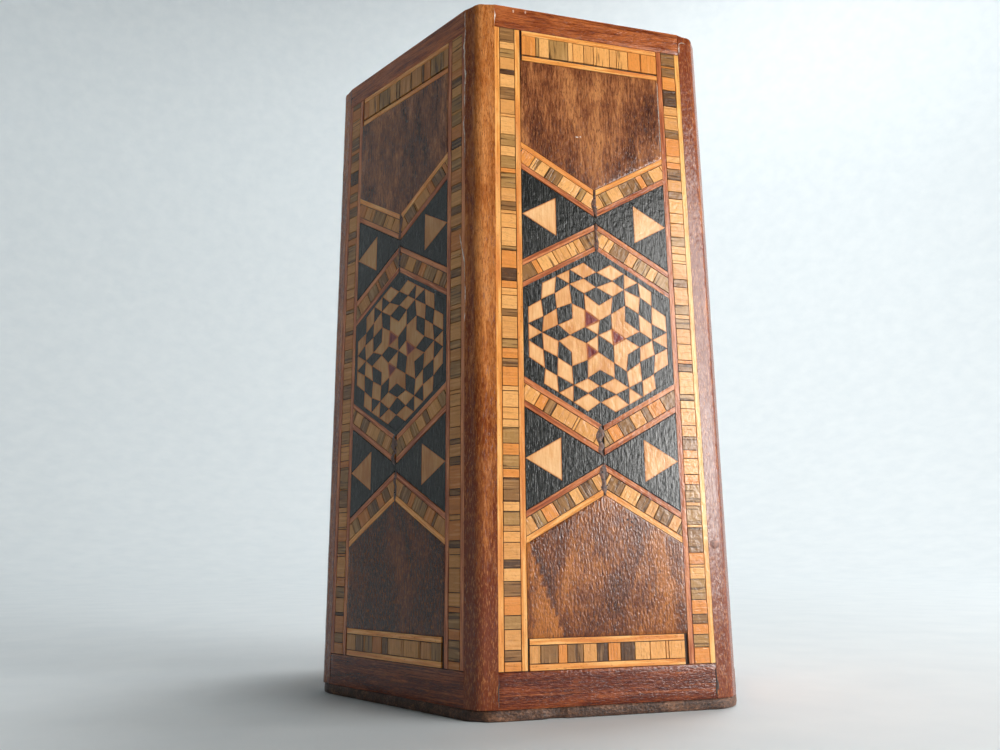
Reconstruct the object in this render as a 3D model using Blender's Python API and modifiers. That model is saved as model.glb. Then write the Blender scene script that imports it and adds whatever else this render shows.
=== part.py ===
"""Inlaid pencil holder: a hexagonal wooden pot, open at the top.

Six mitred boards stand on a base board. Each side is faced, between rounded corner beads, with a
bottom rail, a top rail and a sheet of inlay: a border of banding, two plain veneers, and between
them two crossings of banding with black star points above and below a hexagonal rosette.

Metres, +Z up. The origin is the middle of the underside. The front side looks along -Y, and the
corners of the hexagon lie on the X axis and at every 60 degrees from it.
"""
import math

import bmesh
import bpy

# The hexagon and the height
SIDE = 0.0367            # width of one side of the hexagon, corner to corner
HEIGHT = 0.105           # underside to rim

# Thicknesses
BASE_THICKNESS = 0.0014
WALL_THICKNESS = 0.004
FACING_THICKNESS = 0.0012   # rails and inlay, measured in from the side's surface
JOINT = 0.0003           # glue joint between neighbouring pieces

# Corner beads
BEAD_WIDTH = 0.0025      # on each of the two sides that a bead borders
BEAD_PROUD = 0.0002      # how far beads and base stand out past the facings
BEAD_ARC_STEPS = 8
BEAD_END_ROUND = 0.0007  # worn rounding of a bead's two ends

# Rails, measured up a side
TOP_RAIL = 0.0037
BOTTOM_RAIL = 0.0042

# Banding and inlay, measured across each strip
BORDER_BAND = 0.0038     # border up both edges and along the bottom
TOP_BAND = 0.0050        # border along the top, which is wider
CROSSING_BAND = 0.0038   # arms of the two crossings
CROSSING_WAIST = 0.0011  # black left between the two arms where they meet
ROSETTE_BORDER = 0.0003  # thin dark edging round the rosette
ROSETTE_DROP = 0.0008    # rosette's centre below the middle of the bordered field

# Softened edges
BASE_SOFTENING = 0.0004
BOARD_SOFTENING = 0.0002
SHARP_ANGLE = math.radians(40)

SIDES = 6
TURN = 2 * math.pi / SIDES
ARM_SLOPE = math.tan(TURN / 2)      # arms of a crossing rise at 30 degrees

# Distances from the pot's axis to the surface of a side, and back through its layers
SURFACE = SIDE / (2 * ARM_SLOPE)
FACING_BACK = SURFACE - FACING_THICKNESS
WALL_OUTSIDE = FACING_BACK - JOINT
WALL_INSIDE = WALL_OUTSIDE - WALL_THICKNESS

# Heights of the joints up a side
STANDING = BASE_THICKNESS + JOINT
INLAY_BOTTOM = STANDING + BOTTOM_RAIL + JOINT
RAIL_BOTTOM = HEIGHT - TOP_RAIL
INLAY_TOP = RAIL_BOTTOM - JOINT
FIELD_BOTTOM = INLAY_BOTTOM + BORDER_BAND
FIELD_TOP = INLAY_TOP - TOP_BAND

# Half widths across a side
FACING_HALF = SIDE / 2 - BEAD_WIDTH - JOINT
FIELD_HALF = FACING_HALF - BORDER_BAND
INLAY_HALF = FIELD_HALF - JOINT
ROSETTE_HALF = INLAY_HALF - ROSETTE_BORDER - JOINT

# Heights of the inlay above and below the rosette's centre
ROSETTE_CENTRE = (FIELD_BOTTOM + FIELD_TOP) / 2 - ROSETTE_DROP
SHOULDER_RISE = INLAY_HALF * ARM_SLOPE
EDGING_POINT = 2 * SHOULDER_RISE
ARM_DEPTH = CROSSING_BAND / math.cos(TURN / 2)
CROSSING_NOTCH = EDGING_POINT + 2 * ARM_DEPTH + CROSSING_WAIST
CROSSING_SHOULDER = CROSSING_NOTCH + SHOULDER_RISE
VENEER_GAP = JOINT / math.cos(TURN / 2)


def clear_scene():
    for thing in list(bpy.data.objects):
        bpy.data.objects.remove(thing, do_unlink=True)


def wood(name, colour, roughness):
    material = bpy.data.materials.new(name)
    material.use_nodes = True
    shader = material.node_tree.nodes["Principled BSDF"]
    shader.inputs["Base Color"].default_value = (*colour, 1.0)
    shader.inputs["Roughness"].default_value = roughness
    shader.inputs["Metallic"].default_value = 0.0
    material.diffuse_color = (*colour, 1.0)
    return material


def flat_outline(name, loops, thickness):
    """A flat plate as a 2D curve. The first loop is its outline, the others are holes in it."""
    curve = bpy.data.curves.new(name, "CURVE")
    curve.dimensions = "2D"
    curve.fill_mode = "BOTH"
    curve.extrude = thickness / 2
    for loop in loops:
        spline = curve.splines.new("POLY")
        spline.points.add(len(loop) - 1)
        for point, (x, y) in zip(spline.points, loop):
            point.co = (x, y, 0.0, 1.0)
        spline.use_cyclic_u = True
    return curve


def solid_mesh(curve, whole_caps):
    """The curve's plate as a mesh with its caps welded, shared by all the pieces cut to it.

    The edges round its two caps are weighted, for a bevel that rounds the ends alone. Whole caps
    are one face each, which bevels evenly; a plate with a hole in it keeps its triangles.
    """
    guide = bpy.data.objects.new(curve.name, curve)
    bpy.context.scene.collection.objects.link(guide)
    evaluated = guide.evaluated_get(bpy.context.evaluated_depsgraph_get())
    mesh = bpy.data.meshes.new_from_object(evaluated)
    mesh.name = curve.name
    bpy.data.objects.remove(guide, do_unlink=True)
    shape = bmesh.new()
    shape.from_mesh(mesh)
    bmesh.ops.remove_doubles(shape, verts=shape.verts, dist=0.00001)
    bmesh.ops.recalc_face_normals(shape, faces=shape.faces)
    if whole_caps:
        bmesh.ops.dissolve_limit(shape, angle_limit=math.radians(1), verts=shape.verts,
                                 edges=shape.edges)
    weight = shape.edges.layers.float.new("bevel_weight_edge")
    for edge in shape.edges:
        level = edge.verts[0].co.z == edge.verts[1].co.z
        if level and edge.calc_face_angle() > SHARP_ANGLE:
            edge[weight] = 1.0
    shape.to_mesh(mesh)
    shape.free()
    return mesh


def pivots(collection, label, first_angle):
    """Empties on the pot's axis, one for each side or corner, turned to face it."""
    made = []
    for index in range(SIDES):
        pivot = bpy.data.objects.new(f"{label}_{index + 1}_pivot", None)
        pivot.rotation_euler.z = first_angle + index * TURN
        collection.objects.link(pivot)
        made.append(pivot)
    return made


def soften(piece, width, segments, ends_only=False):
    bevel = piece.modifiers.new("softened edges", "BEVEL")
    bevel.width = width
    bevel.segments = segments
    bevel.limit_method = "WEIGHT" if ends_only else "ANGLE"
    bevel.angle_limit = SHARP_ANGLE


def upright_pieces(collection, parents, name, outline, material):
    """One bead or board for each pivot: a plan outline raised from the base to the rim."""
    mesh = solid_mesh(flat_outline(name, [outline], HEIGHT - STANDING), whole_caps=True)
    mesh.materials.append(material)
    made = []
    for index, parent in enumerate(parents):
        piece = bpy.data.objects.new(f"{name}_{index + 1}", mesh)
        piece.parent = parent
        piece.location.z = (STANDING + HEIGHT) / 2
        collection.objects.link(piece)
        made.append(piece)
    return made


def facing_pieces(collection, parents, name, loops, material):
    """One facing for each side: loops drawn across and up the side, let in from its surface."""
    mesh = solid_mesh(flat_outline(name, loops, FACING_THICKNESS), whole_caps=len(loops) == 1)
    mesh.materials.append(material)
    made = []
    for index, parent in enumerate(parents):
        piece = bpy.data.objects.new(f"{name}_{index + 1}", mesh)
        piece.parent = parent
        piece.rotation_euler.x = math.pi / 2
        piece.location.y = -(SURFACE - FACING_THICKNESS / 2)
        collection.objects.link(piece)
        made.append(piece)
    return made


def rectangle(half_width, bottom, top):
    return [(-half_width, bottom), (half_width, bottom), (half_width, top), (-half_width, top)]


def bead_radius():
    """Radius of the round that meets both neighbouring sides squarely at the bead's edges."""
    return (BEAD_WIDTH * math.cos(TURN / 2) + BEAD_PROUD * math.sin(TURN / 2)) / math.sin(TURN / 2)


def corner_arc(angle):
    """The rounded corner in plan, about the corner of the hexagon that lies at an angle."""
    radius = bead_radius()
    centre = (SURFACE + BEAD_PROUD - radius) / math.cos(TURN / 2)
    points = []
    for step in range(BEAD_ARC_STEPS + 1):
        turn = angle - TURN / 2 + TURN * step / BEAD_ARC_STEPS
        x = centre * math.cos(angle) + radius * math.cos(turn)
        y = centre * math.sin(angle) + radius * math.sin(turn)
        points.append((x, y))
    return points


def bead_outline():
    """A bead in plan at the corner on +X: round outside, square edges, flat back."""
    outline = corner_arc(0.0)
    for side in (1, -1):
        x = SIDE - BEAD_WIDTH * math.sin(TURN / 2) - FACING_THICKNESS * math.cos(TURN / 2)
        y = BEAD_WIDTH * math.cos(TURN / 2) - FACING_THICKNESS * math.sin(TURN / 2)
        outline.append((x, side * y))
    return outline


def wall_outline():
    """A wall board in plan on the front side: mitred ends, flattened behind the beads."""
    bead_back = SIDE - BEAD_WIDTH * math.sin(TURN / 2) - FACING_THICKNESS * math.cos(TURN / 2)
    flat = bead_back - JOINT
    half_joint = JOINT / 2
    across, back = math.sin(TURN / 2), math.cos(TURN / 2)
    outside = (flat - WALL_OUTSIDE * back) / across
    mitre_x = flat * across - half_joint * back
    mitre_y = -flat * back - half_joint * across
    inside = (WALL_INSIDE * across - half_joint) / back
    half = [(outside, -WALL_OUTSIDE), (mitre_x, mitre_y), (inside, -WALL_INSIDE)]
    return half + [(-x, y) for x, y in reversed(half)]


def base_outline():
    outline = []
    for index in range(SIDES):
        outline += corner_arc(index * TURN)
    return outline


def crossing_outline():
    """Both crossings and the edging round the rosette, notched where the plain veneers point in."""
    outline = []
    for way in (1, -1):
        outline.append((-way * INLAY_HALF, ROSETTE_CENTRE + way * CROSSING_SHOULDER))
        outline.append((0.0, ROSETTE_CENTRE + way * CROSSING_NOTCH))
        outline.append((way * INLAY_HALF, ROSETTE_CENTRE + way * CROSSING_SHOULDER))
    return outline


def hexagon(half_width):
    """A hexagon with a point at top and bottom, about the rosette's centre."""
    radius = half_width / math.cos(TURN / 2)
    corners = []
    for index in range(SIDES):
        angle = TURN / 2 + index * TURN
        corners.append((radius * math.cos(angle), ROSETTE_CENTRE + radius * math.sin(angle)))
    return corners


def veneer_outline(way):
    """The plain veneer above (way 1) or below (way -1) the crossings."""
    far = FIELD_TOP - JOINT if way > 0 else FIELD_BOTTOM + JOINT
    shoulder = ROSETTE_CENTRE + way * (CROSSING_SHOULDER + VENEER_GAP)
    tip = ROSETTE_CENTRE + way * (CROSSING_NOTCH + VENEER_GAP)
    return [(-INLAY_HALF, far), (-INLAY_HALF, shoulder), (0.0, tip),
            (INLAY_HALF, shoulder), (INLAY_HALF, far)]


def add_base(collection):
    mesh = solid_mesh(flat_outline("base_board", [base_outline()], BASE_THICKNESS), True)
    mesh.materials.append(wood("dark base wood", (0.060, 0.028, 0.016), 0.65))
    base = bpy.data.objects.new("base_board", mesh)
    base.location.z = BASE_THICKNESS / 2
    collection.objects.link(base)
    soften(base, BASE_SOFTENING, 2, ends_only=True)


def add_carcass(collection, sides, corners):
    stained = wood("stained carcass wood", (0.130, 0.055, 0.028), 0.55)
    for board in upright_pieces(collection, sides, "wall_board", wall_outline(), stained):
        soften(board, BOARD_SOFTENING, 1)
    orange_brown = wood("orange brown bead wood", (0.380, 0.150, 0.050), 0.35)
    for bead in upright_pieces(collection, corners, "corner_bead", bead_outline(), orange_brown):
        soften(bead, BEAD_END_ROUND, 3, ends_only=True)


def add_rails(collection, sides):
    red_brown = wood("red brown rail wood", (0.230, 0.070, 0.035), 0.35)
    lower = rectangle(FACING_HALF, STANDING, STANDING + BOTTOM_RAIL)
    upper = rectangle(FACING_HALF, RAIL_BOTTOM, HEIGHT)
    rails = facing_pieces(collection, sides, "bottom_rail", [lower], red_brown)
    rails += facing_pieces(collection, sides, "top_rail", [upper], red_brown)
    for rail in rails:
        soften(rail, BOARD_SOFTENING, 1)


def add_inlay(collection, sides):
    banding = wood("tan banding wood", (0.640, 0.330, 0.130), 0.30)
    border = [rectangle(FACING_HALF, INLAY_BOTTOM, INLAY_TOP),
              rectangle(FIELD_HALF, FIELD_BOTTOM, FIELD_TOP)]
    facing_pieces(collection, sides, "border_banding", border, banding)

    walnut = wood("dark veneer wood", (0.110, 0.045, 0.025), 0.25)
    facing_pieces(collection, sides, "upper_veneer", [veneer_outline(1)], walnut)
    facing_pieces(collection, sides, "lower_veneer", [veneer_outline(-1)], walnut)

    black = wood("black star point wood", (0.035, 0.038, 0.034), 0.30)
    crossings = [crossing_outline(), hexagon(ROSETTE_HALF + JOINT)]
    facing_pieces(collection, sides, "crossing_panel", crossings, black)

    light = wood("light rosette wood", (0.720, 0.500, 0.280), 0.30)
    facing_pieces(collection, sides, "rosette", [hexagon(ROSETTE_HALF)], light)


def build():
    clear_scene()
    holder = bpy.data.collections.new("inlaid pencil holder")
    bpy.context.scene.collection.children.link(holder)
    sides = pivots(holder, "side", 0.0)
    corners = pivots(holder, "corner", -2 * TURN)
    add_base(holder)
    add_carcass(holder, sides, corners)
    add_rails(holder, sides)
    add_inlay(holder, sides)


build()
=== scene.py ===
import math
import random

import bmesh
import bpy
from mathutils import Matrix, Vector, noise


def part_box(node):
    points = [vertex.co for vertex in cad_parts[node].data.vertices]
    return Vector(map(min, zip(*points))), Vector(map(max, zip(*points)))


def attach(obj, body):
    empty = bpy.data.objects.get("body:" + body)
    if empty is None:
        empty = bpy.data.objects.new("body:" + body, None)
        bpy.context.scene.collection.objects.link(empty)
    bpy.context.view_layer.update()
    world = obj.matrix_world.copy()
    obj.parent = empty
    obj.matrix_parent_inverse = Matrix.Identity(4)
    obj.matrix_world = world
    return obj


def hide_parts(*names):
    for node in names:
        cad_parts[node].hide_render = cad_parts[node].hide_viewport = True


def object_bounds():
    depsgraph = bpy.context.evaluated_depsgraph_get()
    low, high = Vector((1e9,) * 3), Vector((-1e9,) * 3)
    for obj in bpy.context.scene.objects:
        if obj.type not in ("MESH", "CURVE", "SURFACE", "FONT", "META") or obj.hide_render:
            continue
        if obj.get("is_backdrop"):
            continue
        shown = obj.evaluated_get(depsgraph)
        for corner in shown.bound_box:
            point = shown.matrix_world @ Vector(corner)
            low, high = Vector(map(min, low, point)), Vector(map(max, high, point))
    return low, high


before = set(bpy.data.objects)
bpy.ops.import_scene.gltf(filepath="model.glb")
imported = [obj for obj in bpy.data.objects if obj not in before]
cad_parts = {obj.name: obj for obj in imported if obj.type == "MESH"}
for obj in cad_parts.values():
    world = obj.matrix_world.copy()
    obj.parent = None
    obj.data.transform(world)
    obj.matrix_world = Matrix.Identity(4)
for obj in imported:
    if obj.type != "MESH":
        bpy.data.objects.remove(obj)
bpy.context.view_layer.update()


# Base board
# The real one is a thin hexagonal board of dark wood. Its sawn edge shows below the rails, rough,
# rubbed round along the foot and chipped here and there.

MM = 0.001
SIDES = 6
TURN = 2 * math.pi / SIDES
HALF_TURN = TURN / 2

surface = -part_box("rosette_1")[0].y           # pot's axis to the faced surface of a side
side_width = 2 * surface * math.tan(HALF_TURN)
base_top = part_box("base_board")[1].z
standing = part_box("bottom_rail_1")[0].z
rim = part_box("top_rail_1")[1].z
joint = standing - base_top                   # the frame's gap between two pieces
facing_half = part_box("bottom_rail_1")[1].x
facing_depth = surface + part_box("bottom_rail_1")[1].y
proud = -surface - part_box("base_board")[0].y
bead_width = side_width / 2 - facing_half - joint
corner_round = (bead_width * math.cos(HALF_TURN) - proud * math.sin(HALF_TURN)) / math.sin(HALF_TURN)

SEAM = 0.04 * MM                              # glue seam left between two pieces that show


class Wire:
    """A value inside a net of nodes. Arithmetic on it adds Math nodes to that net."""

    def __init__(self, net, socket):
        self.net = net
        self.socket = socket

    def out(self, output):
        """Another value of the node that this one comes from."""
        return Wire(self.net, self.socket.node.outputs[output])

    def work(self, operation, first, second):
        return self.net.node("ShaderNodeMath", {"operation": operation}, {0: first, 1: second})

    def __add__(self, other):
        return self.work("ADD", self, other)

    __radd__ = __add__

    def __sub__(self, other):
        return self.work("SUBTRACT", self, other)

    def __rsub__(self, other):
        return self.work("SUBTRACT", other, self)

    def __mul__(self, other):
        return self.work("MULTIPLY", self, other)

    def __mod__(self, other):
        return self.work("MODULO", self, other)

    def __gt__(self, other):
        return self.work("GREATER_THAN", self, other)


class Net:
    """The nodes of one tree, added a call at a time."""

    def __init__(self, tree):
        self.tree = tree

    def node(self, kind, settings, inputs, output=0):
        made = self.tree.nodes.new(kind)
        for name, value in settings.items():
            if name == "stops":
                self.set_stops(made.color_ramp, value)
            elif name == "kept":
                made.capture_items.new(value, "Kept")
            else:
                setattr(made, name, value)
        for name, value in inputs.items():
            self.feed(made.inputs[name], value)
        return Wire(self, made.outputs[output]) if made.outputs else None

    def feed(self, socket, value):
        if isinstance(value, Wire):
            self.tree.links.new(value.socket, socket)
        else:
            socket.default_value = value

    def set_stops(self, ramp, stops):
        while len(ramp.elements) < len(stops):
            ramp.elements.new(1.0)
        for element, (position, colour) in zip(ramp.elements, stops):
            element.position = position
            element.color = colour

    def vector(self, operation, *places, output=0):
        return self.node("ShaderNodeVectorMath", {"operation": operation}, dict(enumerate(places)), output)


class Finish(Net):
    """One wood's finish: a material and the nodes in it."""

    def __init__(self, name):
        self.material = bpy.data.materials.new(name)
        self.material.use_nodes = True
        super().__init__(self.material.node_tree)

    def ramp(self, share, stops, way="LINEAR"):
        made = self.node("ShaderNodeValToRGB", {"stops": stops}, {"Fac": share})
        made.socket.node.color_ramp.interpolation = way
        return made

    def mix(self, share, first, second):
        return self.node("ShaderNodeMix", {"data_type": "RGBA"}, {0: share, 6: first, 7: second}, 2)

    def band(self, value, low, high):
        """0 below low, 1 above high, smooth between them. low may be the larger."""
        inputs = {"Value": value, "From Min": low, "From Max": high}
        return self.node("ShaderNodeMapRange", {"interpolation_type": "SMOOTHSTEP"}, inputs)

    def cloud(self, place, factors, detail=3.0, rough=0.55, distortion=0.0):
        """Noise over a place whose three axes are first stretched by factors."""
        inputs = {"Vector": self.vector("MULTIPLY", place, factors), "Scale": 1.0, "Detail": detail,
                  "Roughness": rough, "Distortion": distortion}
        return self.node("ShaderNodeTexNoise", {}, inputs)

    def carried(self, name, output="Vector"):
        return self.node("ShaderNodeAttribute", {"attribute_name": name}, {}, output)

    def place(self):
        return self.node("ShaderNodeTexCoord", {}, {}, "Object")

    def relief(self, height, depth):
        return self.node("ShaderNodeBump", {}, {"Height": height, "Distance": depth, "Strength": 1.0})

    def use(self, **inputs):
        for name, value in inputs.items():
            self.feed(self.tree.nodes["Principled BSDF"].inputs[name.replace("_", " ")], value)
        return self.material


def shade(red, green, blue):
    """A colour given as it looks, 0 to 255, as the shader's linear one."""
    linear = []
    for value in (red, green, blue):
        value /= 255
        linear.append(value / 12.92 if value <= 0.04045 else ((value + 0.055) / 1.055) ** 2.4)
    return (*linear, 1.0)


def wood(name, dark, middle, light, fleck, mottle, pores, gloss, lump=(0.9, 0.5), streaks=0.0,
         ripple=1.0):
    """Lacquered wood. Flecks, pores, streaks and broader mottling run along the grain that the piece
    carries, and the film over them is lumpy. fleck, mottle and lump are lengths and widths in
    millimetres."""
    finish = Finish(name)
    grain = finish.carried("grain")

    def cloud(length, width, *look):
        return finish.cloud(grain, (1 / (length * MM), 1 / (width * MM), 1 / (width * MM)), *look)

    flecks = cloud(*fleck, 4.0, 0.62, 0.3)
    mottles = cloud(*mottle, 2.0, 0.5, 0.5)
    # The carried attribute shifts the colour darker or paler: each piece's own tone, and on the rails, the
    # beads and some veneers painted light and shade.
    darkening = finish.carried("age", "Fac")
    share = flecks * 0.6 + mottles * 0.5 - 0.05 - darkening
    colour = finish.ramp(share, [(0.34, dark), (0.5, middle), (0.64, light)])
    long_streaks = cloud(30.0, 0.32, 2.0)
    colour = finish.mix(finish.band(long_streaks, 0.56, 0.66) * streaks, colour, light)
    colour = finish.mix(finish.band(long_streaks, 0.44, 0.36) * streaks, colour, dark)
    dashes = cloud(fleck[0] * 0.5, fleck[1] * 0.5, 2.0, 0.6)
    colour = finish.mix(finish.band(dashes, 0.53, 0.64) * 0.7, colour, dark)
    colour = finish.mix(finish.band(dashes, 0.46, 0.34) * 0.5, colour, light)
    pore = finish.band(cloud(1.1, 0.11, 2.0, 0.6), 0.58, 0.7)
    colour = finish.mix(pore * pores, colour, (*[value * 0.4 for value in dark[:3]], 1.0))
    film = cloud(*lump, 2.0, 0.5)
    relief = finish.relief(film * ripple + flecks * 0.3 - pore * 0.15, 0.06 * MM)
    roughness = gloss + (film - 0.5) * 0.16 + pore * 0.1
    return finish.use(Base_Color=colour, Roughness=roughness, Normal=relief)


def marked(mesh, name, kind, value_at):
    """Marks every point of a mesh with a value worked out from where the point lies."""
    field = {"FLOAT": "value", "FLOAT_VECTOR": "vector"}[kind]
    for vertex, mark in zip(mesh.vertices, mesh.attributes.new(name, kind, "POINT").data):
        setattr(mark, field, value_at(*vertex.co))


CUT_APART = (0.137, 0.071)                     # along and across the timber, from piece to piece


def carry_grain(mesh, angle, piece):
    """Gives a mesh that lies on the bench the grain of its wood, at an angle from the bench's X axis.
    piece says which stretch of the timber it was cut from."""
    run, over = math.cos(angle), math.sin(angle)
    marked(mesh, "grain", "FLOAT_VECTOR", lambda x, y, z: (
        x * run + y * over + piece * CUT_APART[0], y * run - x * over + piece * CUT_APART[1], z))


def finished(name, mesh, material, node):
    """Adds a piece, in place in its mesh: it rides on the pot and stands for its CAD node."""
    mesh.materials.clear()
    mesh.materials.append(material)
    piece = bpy.data.objects.new(name, mesh)
    bpy.context.scene.collection.objects.link(piece)
    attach(piece, "root")
    if node:
        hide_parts(node)


def outline_walk(apothem, radius, pitch):
    """Points and outward directions round a hexagon with rounded corners, a pitch apart."""
    walk = []
    reach = (apothem - radius) / math.cos(HALF_TURN)
    arc_steps = max(3, round(radius * TURN / pitch))
    flat = 2 * (apothem - radius) * math.tan(HALF_TURN)
    flat_steps = max(1, round(flat / pitch))
    for corner in range(SIDES):
        middle = corner * TURN
        centre = Vector((math.cos(middle), math.sin(middle), 0)) * reach
        for step in range(arc_steps + 1):
            angle = middle - HALF_TURN + TURN * step / arc_steps
            out = Vector((math.cos(angle), math.sin(angle), 0))
            walk.append((centre + out * radius, out))
        run = Vector((-math.sin(middle + HALF_TURN), math.cos(middle + HALF_TURN), 0))
        start, out = walk[-1]
        for step in range(1, flat_steps):
            walk.append((start + run * flat * step / flat_steps, out))
    return walk


def skinned(shape, rows):
    """Faces between rows of points, and over the first row and the last."""
    for lower, upper in zip(rows, rows[1:]):
        for index in range(len(lower)):
            ahead = (index + 1) % len(lower)
            shape.faces.new((lower[index], lower[ahead], upper[ahead], upper[index]))
    shape.faces.new(list(reversed(rows[0])))
    shape.faces.new(rows[-1])


def closed(shape, name):
    """The mesh of a worked shape, its faces turned outward."""
    bmesh.ops.recalc_face_normals(shape, faces=shape.faces)
    mesh = bpy.data.meshes.new(name)
    shape.to_mesh(mesh)
    shape.free()
    return mesh


def lofted(rings, name):
    """A closed mesh through rings of equal length."""
    shape = bmesh.new()
    skinned(shape, [[shape.verts.new(point) for point in ring] for ring in rings])
    return closed(shape, name)


def worn(depth, radius, reach):
    """How far an end is rubbed in at a depth below it, when it is rubbed round down to reach."""
    past = min(1.0, max(0.0, 1 - depth / reach))
    return radius * (1 - math.sqrt(1 - past ** 2))


FOOT_ROUND = 0.35 * MM
SAWN_PITCH = 0.25 * MM                         # between the points round the sawn edge
SAWN_LEVELS = (0.0, 0.12, 0.3, 0.5, 0.72, 0.9, 1.0)


def base_board():
    walk = outline_walk(surface + proud - 0.05 * MM, corner_round + 1.0 * MM, SAWN_PITCH)
    rings = []
    for level in SAWN_LEVELS:
        z = level * base_top
        foot = max(0.0, 1 - z / FOOT_ROUND)
        drawn_in = worn(z, FOOT_ROUND, FOOT_ROUND) + worn(base_top - z, 0.4 * FOOT_ROUND, FOOT_ROUND)
        ring = []
        for point, out in walk:
            place = Vector((point.x, point.y, z))
            rough = 0.05 * (1 + noise.noise(place * 1600)) + 0.04 * (1 + noise.noise(place * 500))
            chip = max(0.0, noise.noise(Vector((point.x, point.y, 0)) * 210) - 0.32) * 2.2
            chip *= 0.3 + 0.7 * max(foot, 0.25)
            ring.append(place - out * (drawn_in + (rough + chip) * MM))
        rings.append(ring)
    mesh = lofted(rings, "base_board")
    carry_grain(mesh, 0.0, 3)
    return mesh


base_wood = wood("rough dark base", shade(38, 22, 14), shade(74, 46, 31), shade(140, 98, 70),
                 fleck=(0.6, 0.28), mottle=(4.0, 2.0), lump=(0.4, 0.3), pores=0.7, gloss=0.6, ripple=2.0)
finished("foot_board", base_board(), base_wood, "base_board")


# Wall boards
# Six mitred boards form the pot's body. The facings hide them outside, so only their inner faces
# and their ends at the rim show: plain wood, stained dark brown, grain upright.

def stained_board():
    finish = Finish("stained wall board")
    place = finish.place()
    streaks = finish.cloud(place, (1100.0, 1100.0, 90.0), 4.0, 0.6, 0.3)
    clouds = finish.cloud(place, (120.0, 120.0, 30.0), 2.0)
    colour = finish.ramp(streaks * 0.65 + clouds * 0.35,
                         [(0.36, shade(58, 32, 20)), (0.5, shade(84, 48, 29)), (0.64, shade(112, 68, 42))])
    pore = finish.band(finish.cloud(place, (7000.0, 7000.0, 700.0), 2.0, 0.7), 0.56, 0.68)
    colour = finish.mix(pore * 0.5, colour, shade(30, 17, 12))
    relief = finish.relief(streaks * 0.5 - pore * 0.4, 0.05 * MM)
    return finish.use(Base_Color=colour, Roughness=0.52 + pore * 0.15, Normal=relief)


wall_finish = stained_board()
for number in range(1, SIDES + 1):
    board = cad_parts[f"wall_board_{number}"].data
    board.materials.clear()
    board.materials.append(wall_finish)


# Corner beads
# Each corner is capped by a strip of orange-brown wood, planed to a quarter round on the pot after gluing, so
# that it stands a little past the facings. Its ends are worn round. The strips differ in tone, and each is
# darkened towards its foot and on its left half as painted shade.

ARRIS_ROUND = 2.0 * MM
ARRIS_STEPS = 9
FACE_STEPS = 5
BEAD_PITCH = 0.6 * MM
BEAD_TOP, BEAD_FOOT = 0.35 * MM, 0.14 * MM     # its ends are rubbed round this far


def bead_profile():
    """The bead in plan at the corner on +X, as points with how far each may wear in: two nearly flat
    faces, the arris rounded between them, and the mitred sides behind."""
    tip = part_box("corner_bead_3")[1].x
    centre = tip - ARRIS_ROUND
    edge_x = side_width - (bead_width + joint - SEAM) * math.sin(HALF_TURN) + SEAM
    edge_y = (bead_width + joint - SEAM) * math.cos(HALF_TURN)
    lean = HALF_TURN + math.radians(2.0)
    arc = []
    for step in range(ARRIS_STEPS + 1):
        angle = -lean + 2 * lean * step / ARRIS_STEPS
        arc.append((centre + ARRIS_ROUND * math.cos(angle), ARRIS_ROUND * math.sin(angle), 1.0))
    last_x, last_y = arc[-1][:2]
    face = []
    for step in range(1, FACE_STEPS + 1):
        share = step / FACE_STEPS
        face.append((last_x + (edge_x - last_x) * share, last_y + (edge_y - last_y) * share,
                     1.0 - 0.6 * share))
    back = (edge_x - facing_depth * math.cos(HALF_TURN), edge_y - facing_depth * math.sin(HALF_TURN), 0.0)
    half = arc[len(arc) // 2:] + face + [back]
    return [(x, -y, outer) for x, y, outer in reversed(half)] + half


STRIP_AGES = (-0.04, 0.16, 0.04, 0.1, 0.0, 0.1)
# Painted shade: each strip is darkened towards its foot and on its left half.
FOOT_PAINTED_SHADE, LEFT_PAINTED_SHADE = 0.24, 0.12          # towards the foot, and on the left face
SOFT = math.radians(50)                        # a sharper edge than this shows as an edge


def corner_bead(number):
    profile = bead_profile()
    bottom = base_top + SEAM
    rows = round((rim - bottom) / BEAD_PITCH)
    levels = [bottom + BEAD_FOOT * step for step in (0.0, 0.15, 0.35, 0.6, 0.85)]
    levels += [bottom + BEAD_FOOT + (rim - bottom - BEAD_FOOT - BEAD_TOP) * row / rows
               for row in range(rows + 1)]
    levels += [rim - BEAD_TOP * (1 - step) for step in (0.2, 0.45, 0.7, 0.88, 1.0)]
    rings = []
    for z in levels:
        wear = worn(rim - z, BEAD_TOP, BEAD_TOP) + worn(z - bottom, BEAD_FOOT, BEAD_FOOT)
        ring = []
        for x, y, outer in profile:
            place = Vector((x, y, z))
            probe = place * 330 + Vector((number * 7.3, 0, 0))
            dent = (1 + noise.noise(probe)) * 0.035 + (1 + noise.noise(probe * 4)) * 0.012
            out = Vector((x - side_width + corner_round, y, 0)).normalized()
            dent *= min(1.0, outer + 0.3)
            ring.append(place - out * outer * (wear + dent * MM))
        rings.append(ring)
    mesh = lofted(rings, f"corner_bead_{number}")
    marked(mesh, "grain", "FLOAT_VECTOR",
           lambda x, y, z: (z + number * CUT_APART[0], y + number * CUT_APART[1], x))
    own = STRIP_AGES[number - 1]

    # The strip's own tone, with painted shade added towards the foot and on the left half.
    def age(x, y, z):
        foot = max(0.0, 1 - z / (0.55 * rim))
        return own + FOOT_PAINTED_SHADE * foot * (1 - own * 4) + LEFT_PAINTED_SHADE * min(1.0, max(0.0, -y / MM))

    marked(mesh, "age", "FLOAT", age)
    mesh.transform(Matrix.Rotation((number - 3) * TURN, 4, "Z"))
    mesh.shade_smooth()
    mesh.set_sharp_from_angle(angle=SOFT)
    return mesh


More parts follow.
